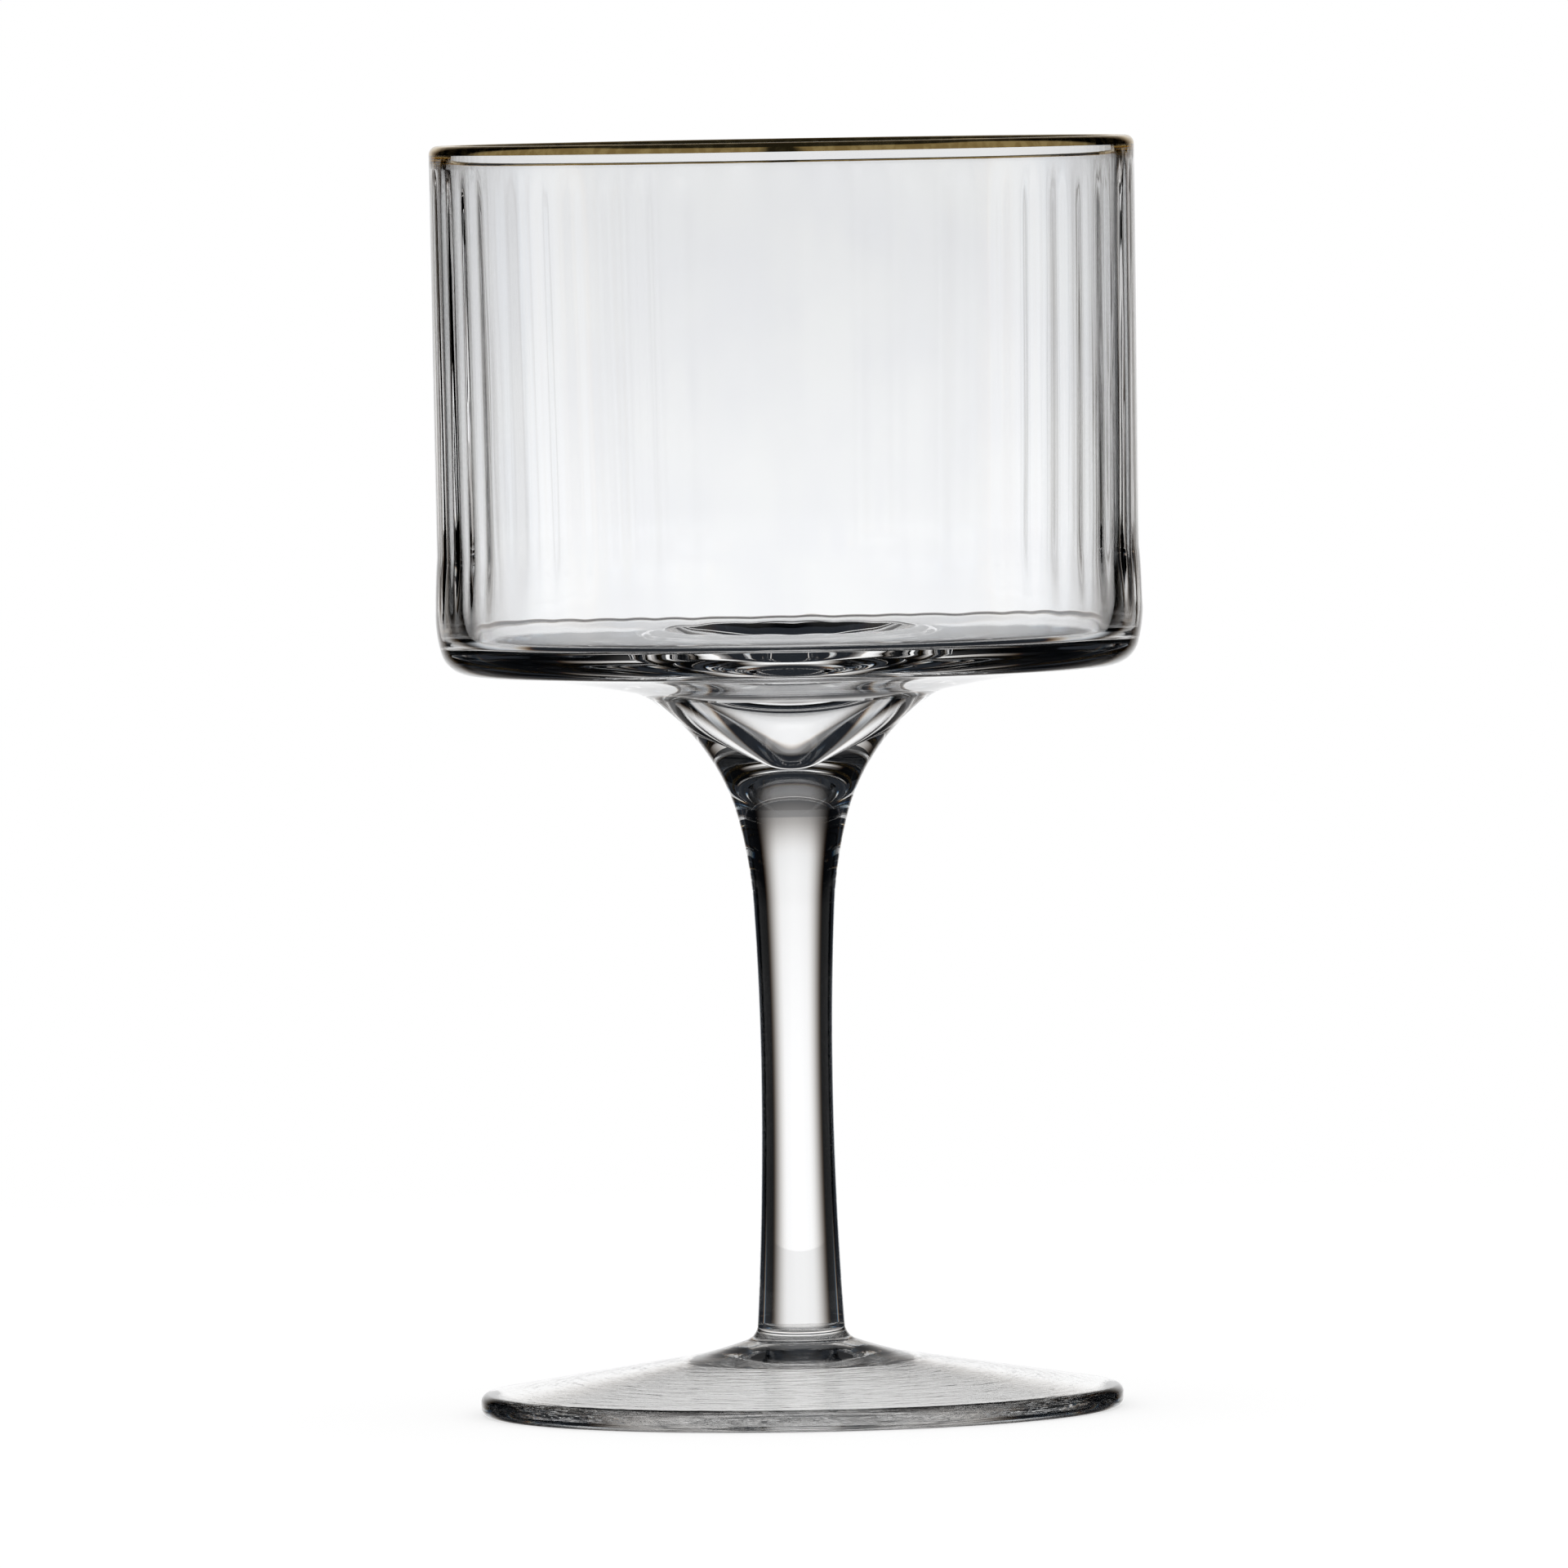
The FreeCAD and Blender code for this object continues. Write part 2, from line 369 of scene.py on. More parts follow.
class Outline:
    """Half a section as an open edge in the XZ plane, drawn run by run in edit mode.

    The way the outline goes keeps the glass on its left, so that it turns left round a piece.
    """

    def __init__(self, name: str, radius: float, height: float) -> None:
        """Start the outline at one point.

        Args:
            name: The name of the piece.
            radius: How far the point is from the axis.
            height: How far it is above the table.
        """
        bpy.ops.object.select_all(action="DESELECT")
        bpy.ops.mesh.primitive_plane_add(size=MM)
        self.piece = bpy.context.object
        self.piece.name = self.piece.data.name = name
        bpy.ops.object.mode_set(mode="EDIT")
        bpy.ops.mesh.merge(type="CENTER")
        bpy.ops.transform.translate(value=(radius, 0.0, height))
        self.end = Vector((radius, 0.0, height))

    def line(self, radius: float, height: float, cuts: int = 1) -> "Outline":
        """Draw a straight run.

        Args:
            radius: Where the run ends, out from the axis.
            height: Where the run ends, above the table.
            cuts: How many edges the run is made of.

        Returns:
            This outline, for the next run.
        """
        target = Vector((radius, 0.0, height))
        step = (target - self.end) / cuts
        for _ in range(cuts):
            bpy.ops.mesh.extrude_region_move(TRANSFORM_OT_translate={"value": step})
        self.end = target
        return self

    def arc(self, radius: float, height: float, turn: Turn, bend: float, cuts: int) -> "Outline":
        """Draw an arc of a given radius.

        Args:
            radius: Where the arc ends, out from the axis.
            height: Where the arc ends, above the table.
            turn: The way the outline bends.
            bend: The arc's own radius.
            cuts: How many edges the arc is made of.

        Returns:
            This outline, for the next run.
        """
        target = Vector((radius, 0.0, height))
        half = (target - self.end) / 2
        side = Vector((-half.z, 0.0, half.x)).normalized() * turn.value
        centre = self.end + half + side * math.sqrt(bend ** 2 - half.length_squared)
        angle = 2 * math.asin(half.length / bend)
        bpy.ops.mesh.spin(steps=cuts, angle=angle, center=centre, axis=(0.0, turn.value, 0.0),
                          use_auto_merge=False)
        self.end = target
        return self

    def cap(self, radius: float, height: float, turn: Turn, cuts: int) -> "Outline":
        """Draw an arc from the axis or to it, with its centre on the axis.

        Args:
            radius: Where the arc ends, out from the axis.
            height: Where the arc ends, above the table.
            turn: The way the outline bends.
            cuts: How many edges the arc is made of.

        Returns:
            This outline, for the next run.
        """
        half = (Vector((radius, 0.0, height)) - self.end).length / 2
        rise = abs(height - self.end.z)
        return self.arc(radius, height, turn, 2 * half ** 2 / rise, cuts)

    def turned(self) -> bpy.types.Object:
        """Turn the outline round the axis.

        Returns:
            The closed piece.
        """
        bpy.ops.mesh.select_all(action="SELECT")
        bpy.ops.mesh.spin(steps=ROUND_STEPS, angle=math.tau, center=(0.0, 0.0, 0.0),
                          axis=(0.0, 0.0, 1.0), use_auto_merge=True)
        bpy.ops.mesh.select_all(action="SELECT")
        bpy.ops.mesh.remove_doubles(threshold=WELD)
        bpy.ops.mesh.normals_make_consistent(inside=False)
        bpy.ops.object.mode_set(mode="OBJECT")
        return self.piece


def radius_of(place: Vector) -> float:
    """Give how far a place is from the glass's axis."""
    return math.hypot(place.x, place.y)


def dress(piece: bpy.types.Object, finish: bpy.types.Material, other: bpy.types.Material | None = None,
          where: Callable[[Vector, Vector], bool] | None = None) -> None:
    """Give a piece its finish, and another one to the faces at some places.

    Args:
        piece: The piece.
        finish: The material of most of its faces.
        other: The material of the picked faces.
        where: Says from a face's centre and normal whether the face is picked.
    """
    piece.data.materials.append(finish)
    if other:
        piece.data.materials.append(other)
        for face in piece.data.polygons:
            face.material_index = int(where(face.center, face.normal))
    bpy.ops.object.select_all(action="DESELECT")
    piece.select_set(True)
    bpy.context.view_layer.objects.active = piece
    bpy.ops.object.shade_smooth_by_angle(angle=SHARP_ANGLE, keep_sharp_edges=True)


def work(piece: bpy.types.Object, name: str, weight: Callable[[Vector], float], depth: float,
         grain: float = 0.0) -> None:
    """Move a piece's surface along its normals, as blowing and tooling do.

    Args:
        piece: The piece.
        name: What the unevenness is, as the vertex group's name.
        weight: Gives from a place how much of the depth acts there, from 0 to 1.
        depth: How far the surface moves out at most, in metres.
        grain: The size of the random swells in metres, or 0 to move by the whole depth.
    """
    group = piece.vertex_groups.new(name=name)
    for vertex in piece.data.vertices:
        share = weight(vertex.co)
        if share > 0.0:
            group.add([vertex.index], min(1.0, share), "REPLACE")
    bpy.ops.object.select_all(action="DESELECT")
    piece.select_set(True)
    bpy.context.view_layer.objects.active = piece
    displace = piece.modifiers.new(name, "DISPLACE")
    displace.vertex_group = name
    displace.strength = depth
    displace.mid_level = 0.0
    if grain:
        swells = bpy.data.textures.new(name, "CLOUDS")
        swells.noise_scale = grain
        swells.noise_depth = 1
        displace.texture = swells
        displace.texture_coords = "LOCAL"
        displace.mid_level = 0.5
    bpy.ops.object.modifier_apply(modifier=name)


def fade(value: float, low: float, high: float) -> float:
    """Rise smoothly from 0 to 1 as value goes from low to high, or fall where low is the larger."""
    share = min(1.0, max(0.0, (value - low) / (high - low)))
    return share * share * (3 - 2 * share)


# ---------------------------------------------------------------- the pieces


@dataclass
class Lip:
    """The rounded lip and its gold film, which the bowl and the gold band share."""

    band: NodeBox
    lip_round: float = 1.1 * MM
    film: float = 0.12 * MM
    bead_depth: float = 0.13 * MM
    bead_length: float = 1.8 * MM
    bead_round: float = 12.5 * MM

    @property
    def outside(self) -> float:
        """The lip's outer radius."""
        return self.band.radius

    @property
    def centre(self) -> float:
        """The radius of the lip's crest."""
        return self.outside - self.lip_round

    @property
    def inside(self) -> float:
        """The lip's inner radius."""
        return self.centre - self.lip_round

    @property
    def side_top(self) -> float:
        """The height where the lip's sides turn into its round crest."""
        return self.band.high - self.lip_round

    @property
    def bead_end(self) -> float:
        """The height where the bead inside the lip runs out into the wall."""
        return self.band.low - self.bead_length

    def draw_glass(self, outline: Outline) -> Outline:
        """Draw the glass lip from the outer wall's top to the inner wall's top.

        Args:
            outline: The bowl's outline so far.

        Returns:
            The same outline.
        """
        bend = self.lip_round - self.film
        outline.line(self.outside, self.band.low, 14)
        outline.line(self.outside - self.film, self.band.low)
        outline.line(self.outside - self.film, self.side_top)
        outline.arc(self.centre, self.band.high - self.film, Turn.LEFT, bend, 8)
        outline.arc(self.inside + self.film, self.side_top, Turn.LEFT, bend, 8)
        outline.line(self.inside + self.film, self.band.low)
        outline.line(self.inside, self.band.low)
        return outline.arc(self.inside + self.bead_depth, self.bead_end, Turn.RIGHT, self.bead_round, 12)


@dataclass
class GoldBand:
    """The gold film, folded over the lip outside and inside."""

    lip: Lip
    finish: FiredGold = field(default_factory=FiredGold)

    def build(self) -> bpy.types.Object:
        """Make and dress the band.

        Returns:
            The band.
        """
        lip, film = self.lip, self.lip.film
        outline = Outline("gold_lip_band", lip.outside, lip.band.low)
        outline.line(lip.outside, lip.side_top, 2)
        outline.arc(lip.centre, lip.band.high, Turn.LEFT, lip.lip_round, 12)
        outline.arc(lip.inside, lip.side_top, Turn.LEFT, lip.lip_round, 12)
        outline.line(lip.inside, lip.band.low, 2)
        outline.line(lip.inside + film, lip.band.low)
        outline.line(lip.inside + film, lip.side_top)
        outline.arc(lip.centre, lip.band.high - film, Turn.RIGHT, lip.lip_round - film, 8)
        outline.arc(lip.outside - film, lip.side_top, Turn.RIGHT, lip.lip_round - film, 8)
        outline.line(lip.outside - film, lip.band.low)
        outline.line(lip.outside, lip.band.low)
        band = outline.turned()
        dress(band, self.finish.material())
        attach(band, "root")
        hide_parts("gold_rim")
        return band


@dataclass
class Bowl:
    """The blown bowl: optic ribs inside the wall, a heavy floor and a pointed dimple in its middle."""

    node: NodeBox
    collar: NodeBox
    lip: Lip
    waist_radius: float = 43.65 * MM
    waist_height: float = 107.0 * MM
    belly_height: float = 99.6 * MM
    belly_upper_round: float = 78.4 * MM
    belly_lower_round: float = 17.6 * MM
    heel_side: tuple[float, float] = (43.38 * MM, 95.08 * MM)
    heel_round: float = 3.9 * MM
    heel_bottom: tuple[float, float] = (39.85 * MM, 92.2 * MM)
    underside_round: float = 150.0 * MM
    shoulder: tuple[float, float] = (20.0 * MM, 89.75 * MM)
    shoulder_round: float = 7.0 * MM
    nub_side: tuple[float, float] = (8.5 * MM, 84.6 * MM)
    cavity_radius: float = 40.55 * MM
    belly_inside_round: float = 13.7 * MM
    belly_turn: float = math.asin(0.25038)
    corner_round: float = 1.5 * MM
    floor_height: float = 96.05 * MM
    tip_height: float = 81.7 * MM
    tip_round: float = 3.4 * MM
    edge_round: float = 1.2 * MM
    rib_count: int = 48
    rib_depth: float = 0.15 * MM
    rib_rise: float = 14 * MM
    rib_end: tuple[float, float] = (0.5 * MM, -4 * MM)
    wall_depth: float = 0.06 * MM
    wall_grain: float = 22 * MM
    floor_depth: float = 0.04 * MM
    floor_grain: float = 10 * MM
    finish: ClearGlass = field(default_factory=lambda: ClearGlass(
        "blown_glass", (0.975, 0.979, 0.988), line_depth=0.02 * MM, line_waves=(400.0, 6.0, 0.0),
        line_low=104 * MM, wave_size=14 * MM))

    def draw_inside(self, outline: Outline) -> Outline:
        """Draw the cavity from the top of its wall to the tip of its dimple.

        Args:
            outline: The bowl's outline so far.

        Returns:
            The same outline.
        """
        slope = math.sqrt(0.5)
        tip_side = (self.tip_round * slope, self.tip_height + self.tip_round * (1 - slope))
        edge_low_height = self.floor_height - self.edge_round * (1 - slope)
        edge_low_radius = tip_side[0] + edge_low_height - tip_side[1]
        sine, cosine = math.sin(self.belly_turn), math.cos(self.belly_turn)
        turn_radius = self.cavity_radius - self.belly_inside_round * (1 - cosine)
        turn_height = self.floor_height + self.corner_round * (1 - sine)
        outline.line(self.cavity_radius, turn_height + self.belly_inside_round * sine, 30)
        outline.arc(turn_radius, turn_height, Turn.RIGHT, self.belly_inside_round, 10)
        outline.arc(turn_radius - self.corner_round * cosine, self.floor_height, Turn.RIGHT,
                    self.corner_round, 10)
        outline.line(edge_low_radius + self.edge_round * slope, self.floor_height, 14)
        outline.arc(edge_low_radius, edge_low_height, Turn.LEFT, self.edge_round, 12)
        outline.line(*tip_side, 8)
        return outline.cap(0.0, self.tip_height, Turn.RIGHT, 8)

    def draw(self) -> Outline:
        """Draw the whole half section, from the bottom of the nub round to the dimple.

        Returns:
            The outline.
        """
        outline = Outline("ribbed_bowl", 0.0, self.node.low)
        outline.cap(*self.nub_side, Turn.LEFT, 8)
        outline.line(self.collar.radius, self.collar.high, 6)
        outline.arc(*self.shoulder, Turn.RIGHT, self.shoulder_round, 6)
        outline.arc(*self.heel_bottom, Turn.RIGHT, self.underside_round, 10)
        outline.arc(*self.heel_side, Turn.LEFT, self.heel_round, 12)
        outline.arc(self.node.radius, self.belly_height, Turn.LEFT, self.belly_lower_round, 6)
        outline.arc(self.waist_radius, self.waist_height, Turn.LEFT, self.belly_upper_round, 6)
        self.lip.draw_glass(outline)
        self.draw_inside(outline)
        return outline

    def rib_share(self, place: Vector) -> float:
        """Say how high the ribs stand on the wall inside.

        Args:
            place: A place on the bowl.

        Returns:
            The share of the ribs' depth there.
        """
        inner = self.cavity_radius - MM < radius_of(place) < self.lip.inside + 0.2 * MM
        if not inner or not self.floor_height < place.z < self.lip.band.low:
            return 0.0
        around = math.atan2(place.y, place.x)
        # The ribs wander a little sideways, and stand unevenly high round the bowl.
        drift = 0.006 * math.sin(50.0 * place.z + 3.0 * around)
        drift += 0.02 * math.sin(9.0 * around) + 0.012 * math.sin(17.0 * around + 2.0)
        ridge = (0.5 + 0.5 * math.cos(self.rib_count * (around + drift))) ** 2
        uneven = 0.7 + 0.3 * math.sin(5.0 * around + 1.0) * math.sin(11.0 * around)
        low = fade(place.z, self.floor_height, self.floor_height + self.rib_rise)
        high = fade(place.z, *[self.lip.bead_end + above for above in self.rib_end])
        return ridge * uneven * low * high

    def wall_share(self, place: Vector) -> float:
        """Give how much the wall wavers at a place: not at the lip, nor near the collar."""
        return fade(place.z, self.lip.band.low, self.lip.band.low - 12 * MM) * fade(
            radius_of(place), self.collar.radius + 2 * MM, self.cavity_radius - 4 * MM)

    def floor_share(self, place: Vector) -> float:
        """Give how much the floor ripples at a place inside the bowl.

        Args:
            place: A place on the bowl.

        Returns:
            The share of the ripples' depth there.
        """
        inside = self.collar.radius < radius_of(place) < self.cavity_radius
        return float(inside and place.z > self.floor_height - 0.5 * MM) * fade(
            place.z, self.floor_height + 6 * MM, self.floor_height + 1 * MM)

    def is_seam(self, centre: Vector, normal: Vector) -> bool:
        """Say whether a face is on the nub that the collar holds, or under the gold."""
        nub = radius_of(centre) < self.collar.radius and centre.z < self.collar.high and normal.z < 0
        return nub or centre.z > self.lip.band.low

    def build(self) -> bpy.types.Object:
        """Make and dress the bowl.

        Returns:
            The bowl.
        """
        bowl = self.draw().turned()
        work(bowl, "ribs", self.rib_share, self.rib_depth)
        work(bowl, "blown_wall", self.wall_share, self.wall_depth, self.wall_grain)
        work(bowl, "blown_floor", self.floor_share, self.floor_depth, self.floor_grain)
        dress(bowl, self.finish.material(), FusedSeam().material(), self.is_seam)
        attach(bowl, "root")
        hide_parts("bowl")
        return bowl


@dataclass
class Stem:
    """The collar under the bowl and the drawn stem below it."""

    collar: NodeBox
    stem: NodeBox
    bowl_low: float
    nub_side: tuple[float, float] = (8.5 * MM, 84.6 * MM)
    collar_round: float = 26.0 * MM
    neck_round: float = 55.0 * MM
    neck: tuple[float, float] = (5.0 * MM, 62.0 * MM)
    upper_round: float = 377.0 * MM
    waist: tuple[float, float] = (4.47 * MM, 42.0 * MM)
    lower_round: float = 510.0 * MM
    base_radius: float = 5.45 * MM
    finish: ClearGlass = field(default_factory=lambda: ClearGlass(
        "drawn_glass", (0.985, 0.985, 0.985), wave_size=8 * MM, flat_waves=0.2))

    def build_collar(self) -> bpy.types.Object:
        """Make the funnel of glass that carries the bowl on its nub.

        Returns:
            The collar.
        """
        outline = Outline("stem_collar_glass", 0.0, self.stem.high)
        outline.cap(self.stem.radius, self.collar.low, Turn.RIGHT, 8)
        outline.arc(self.collar.radius, self.collar.high, Turn.RIGHT, self.collar_round, 24)
        outline.line(*self.nub_side, 6)
        outline.cap(0.0, self.bowl_low, Turn.RIGHT, 8)
        return outline.turned()

    def build_stem(self) -> bpy.types.Object:
        """Make the stem.

        Returns:
            The stem.
        """
        outline = Outline("drawn_stem", 0.0, self.stem.low)
        outline.line(self.base_radius, self.stem.low, 4)
        outline.arc(*self.waist, Turn.RIGHT, self.lower_round, 20)
        outline.arc(*self.neck, Turn.RIGHT, self.upper_round, 16)
        outline.arc(self.stem.radius, self.collar.low, Turn.RIGHT, self.neck_round, 16)
        outline.cap(0.0, self.stem.high, Turn.LEFT, 8)
        return outline.turned()

    def collar_seam(self, centre: Vector, normal: Vector) -> bool:
        """Say whether a face of the collar meets the bowl's nub or the stem."""
        return normal.z > 0 or radius_of(centre) < self.stem.radius

    def stem_seam(self, centre: Vector, normal: Vector) -> bool:
        """Say whether a face of the stem meets the collar or the join button."""
        return normal.z < FACING_DOWN or centre.z > self.collar.low

    def build(self) -> list[bpy.types.Object]:
        """Make and dress both pieces.

        Returns:
            The two pieces, the upper one first.
        """
        collar, stem = self.build_collar(), self.build_stem()
        glass, seam = self.finish.material(), FusedSeam().material()
        dress(collar, glass, seam, self.collar_seam)
        dress(stem, glass, seam, self.stem_seam)
        for piece, node in ((collar, "stem_collar"), (stem, "stem")):
            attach(piece, "root")
            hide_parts(node)
        return [collar, stem]


@dataclass
class Foot:
    """The join button and the cast foot: a shallow cone on a rest ring, hollow underneath."""

    join: NodeBox
    foot: NodeBox
    stem_base_radius: float = 5.45 * MM
    join_round: float = 2.2 * MM
    flare_round: float = 60.0 * MM
    cone_top: tuple[float, float] = (12.5 * MM, 7.15 * MM)
    cone_end: tuple[float, float] = (38.95 * MM, 2.75 * MM)
    upper_round: float = 1.05 * MM
    side_top: float = 1.72 * MM
    lower_round: float = 1.0 * MM
    ring_width: float = 1.5 * MM
    hollow_side: tuple[float, float] = (14.0 * MM, 3.95 * MM)
    hollow_height: float = 4.3 * MM
    finish: ClearGlass = field(default_factory=lambda: ClearGlass(
        "cast_glass", (0.980, 0.979, 0.970), line_depth=0.02 * MM, line_waves=(150.0, 0.0, 1200.0),
        wave_size=6 * MM, flat_waves=3.0))

    def build_join(self) -> bpy.types.Object:
        """Make the button of glass that fuses the stem to the foot.

        Returns:
            The button.
        """
        outline = Outline("join_button", 0.0, self.join.low)
        outline.line(self.join.radius, self.join.low, 4)
        outline.arc(self.stem_base_radius, self.join.high, Turn.RIGHT, self.join_round, 10)
        outline.line(0.0, self.join.high, 4)
        return outline.turned()

    def build_foot(self) -> bpy.types.Object:
        """Make the foot.

        Returns:
            The foot.
        """
        ring_outside = self.foot.radius - self.lower_round
        outline = Outline("cast_foot", 0.0, self.hollow_height)
        outline.cap(*self.hollow_side, Turn.RIGHT, 10)
        outline.line(ring_outside - self.ring_width, 0.0, 20)
        outline.line(ring_outside, 0.0)
        outline.arc(self.foot.radius, self.lower_round, Turn.LEFT, self.lower_round, 8)
        outline.line(self.foot.radius, self.side_top, 2)
        outline.arc(*self.cone_end, Turn.LEFT, self.upper_round, 8)
        outline.line(*self.cone_top, 24)
        outline.arc(self.join.radius, self.join.low, Turn.RIGHT, self.flare_round, 10)
        outline.line(0.0, self.join.low, 4)
        return outline.turned()

    def join_seam(self, centre: Vector, normal: Vector) -> bool:
        """Say whether a face of the button meets the stem or the foot."""
        return abs(normal.z) > FACING_UP

    def foot_seam(self, centre: Vector, normal: Vector) -> bool:
        """Say whether a face of the foot meets the button."""
        return normal.z > 0 and radius_of(centre) < self.join.radius

    def build(self) -> list[bpy.types.Object]:
        """Make and dress both pieces.

        Returns:
            The two pieces, the upper one first.
        """
        join, foot = self.build_join(), self.build_foot()
        glass, seam = self.finish.material(), FusedSeam().material()
        dress(join, glass, seam, self.join_seam)
        dress(foot, glass, seam, self.foot_seam)
        for piece, node in ((join, "foot_join"), (foot, "foot")):
            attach(piece, "root")
            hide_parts(node)
        return [join, foot]


# ---------------------------------------------------------------- the studio


@dataclass(frozen=True)
class Step:
    """A soft step along a value: where it starts, where it is full, and how much it adds."""

    start: float
    full: float
    share: float


def add_steps(value: Signal, steps: tuple[Step, ...]) -> Signal:
    """Add up soft steps along a value.

    Args:
        value: The value.
        steps: The steps.

    Returns:
        What the steps add up to.
    """
    total = value.ramp(steps[0].start, steps[0].full) * steps[0].share
    for step in steps[1:]:
        total = total + value.ramp(step.start, step.full) * step.share
    return total


@dataclass(frozen=True)
class Patch:
    """A soft-edged patch of light. An edge is the degrees where it starts and where it is full."""

    level: float
    near: tuple[float, float] | None = None
    far: tuple[float, float] | None = None
    top: tuple[float, float] | None = None
    bottom: tuple[float, float] | None = None

    def light(self, azimuth: Signal, height: Signal) -> Signal:
        """Say how bright the patch is in one direction.

        Args:
            azimuth: Degrees away from straight behind the glass, to either side.
            height: Degrees above the horizon.

        Returns:
            The brightness, from 0 to the patch's level.
        """
        edges = [azimuth.ramp(*edge) for edge in (self.near, self.far) if edge]
        edges += [height.ramp(*edge) for edge in (self.top, self.bottom) if edge]
        shown = edges[0]
        for edge in edges[1:]:
            shown = shown * edge
        return shown * self.level


@dataclass
class Studio:
    """A white backdrop behind the glass, lights in the dark round it, and a plain pale floor.

    The steps and patches are in degrees, to either side of straight behind the glass, and up from
    the horizon. The sweep and the wings show only in light that comes through the glass, and the
    room only in other light.
    """

    distance: float = 2.43
    eye_height: float = 0.172
    aim: Vector = field(default_factory=lambda: Vector((-0.0010, 0.0, 0.078)))
    lens: float = 449.0
    sensor: float = 36.0
    roll: float = math.radians(-0.98)
    floor_radius: float = 0.5
    floor_fade: tuple[float, float] = (0.4, 0.98)
    floor_grey: float = 0.5
    floor_glow: float = 0.6
    table_radius: float = 0.19
    table_edge: float = 0.98
    table_middle: tuple[float, float] = (50 * MM, 80 * MM)
    table_shade: float = 0.14
    soft: float = 0.9
    spreads: tuple[float, float, float] = (0.988, 1.0, 1.012)
    dark: tuple[float, float, float] = (0.018, 0.021, 0.026)
    scrim_distance: float = 0.3
    scrim_size: float = 1.0
    scrim_middle: float = 0.2
    scrim_top: tuple[float, float] = (85 * MM, 150 * MM)
    scrim_top_shade: float = 0.15
    scrim_foot: tuple[float, float] = (-20 * MM, -70 * MM)
    backdrop_level: float = 1.03
    across: tuple[Step, ...] = (Step(32.0, 11.0, 0.93), Step(16.0, 0.0, 0.07))
    under_scrim: tuple[Step, ...] = (Step(-8.0, -18.0, 0.5),)
    horizon_level: float = 0.97
    under_horizon: tuple[Step, ...] = (Step(3.0, -4.0, 0.11),)
    above: tuple[Step, ...] = (Step(16.0, 8.0, 0.62), Step(24.0, 12.0, 0.24), Step(50.0, 46.0, 0.12))
    below: tuple[Step, ...] = (Step(-20.0, -15.0, 0.6), Step(-36.0, -16.0, 0.4))
    sliver: Patch = Patch(0.25, near=(46.0, 47.5), far=(51.0, 49.5))
    sweep: Patch = Patch(0.35, far=(48.0, 22.0), top=(-10.0, -16.0), bottom=(-40.0, -30.0))
    wings: tuple[Patch, ...] = (
        Patch(0.6, near=(72.0, 82.0), far=(108.0, 98.0), top=(12.0, 8.0), bottom=(-14.0, -9.0)),
        Patch(0.6, near=(25.0, 38.0), far=(65.0, 52.0), top=(-16.0, -20.0), bottom=(-38.0, -32.0)),
        Patch(0.6, near=(116.0, 126.0), far=(154.0, 144.0), top=(-7.0, -11.0), bottom=(-28.0, -22.0)))
    room: Patch = Patch(0.25, near=(52.0, 66.0), far=(176.0, 171.0), top=(62.0, 52.0), bottom=(-12.0, -4.0))
    bounces: int = 24
    glossy_bounces: int = 16

    def place_camera(self) -> bpy.types.Object:
        """Put the camera at eye height, a little rolled.

        Returns:
            The camera.
        """
        bpy.ops.object.camera_add()
        camera = bpy.context.object
        camera.name = "studio_camera"
        camera.location = Vector((self.aim.x, -self.distance, self.eye_height))
        facing = (self.aim - camera.location).to_track_quat("-Z", "Y")
        camera.rotation_euler = (facing @ Euler((0.0, 0.0, self.roll)).to_quaternion()).to_euler()
        camera.data.lens = self.lens
        camera.data.sensor_width = self.sensor
        bpy.context.scene.camera = camera
        return camera

    def lay_floor(self) -> bpy.types.Object:
        """Lay the round pale floor, which fades out at its edge.

        Returns:
            The floor.
        """
        bpy.ops.object.select_all(action="DESELECT")
        bpy.ops.mesh.primitive_circle_add(vertices=96, radius=self.floor_radius, fill_type="NGON")
        floor = bpy.context.object
        floor.name = "studio_floor"
        made = bpy.data.materials.new("pale_floor")
        shader = Shader(made)
        place = shader.place()
        reach = shader.add("ShaderNodeVectorMath", {"operation": "LENGTH"}, [place])["Value"]
        grey = (self.floor_grey, self.floor_grey, self.floor_grey, 1.0)
        pale = shader.add("ShaderNodeBsdfDiffuse", {}, {"Color": grey})["BSDF"]
        glow = shader.add("ShaderNodeEmission", {}, {"Strength": self.floor_glow})["Emission"]
        lit = shader.add("ShaderNodeAddShader", {}, [pale, glow])["Shader"]
        table = reach.ramp(self.table_radius, self.table_radius * self.table_edge)
        table = table * reach.ramp(*self.table_middle)
        shade = 1 - table * self.table_shade
        shade = shade.maths("MAXIMUM", shader.seen_by(Ray.CAMERA))
        away = shader.add("ShaderNodeBsdfTransparent", {}, {
            "Color": shader.add("ShaderNodeCombineColor", {}, [shade] * 3)["Color"]})["BSDF"]
        edge = reach.ramp(*[self.floor_radius * share for share in self.floor_fade])
        edge = edge.maths("MAXIMUM", shader.seen_by(Ray.GLOSSY, Ray.TRANSMISSION))
        faded = shader.add("ShaderNodeMixShader", {}, [edge, lit, away])["Shader"]
        shader.add("ShaderNodeOutputMaterial", {}, {"Surface": faded})
        floor.data.materials.append(made)
        return floor

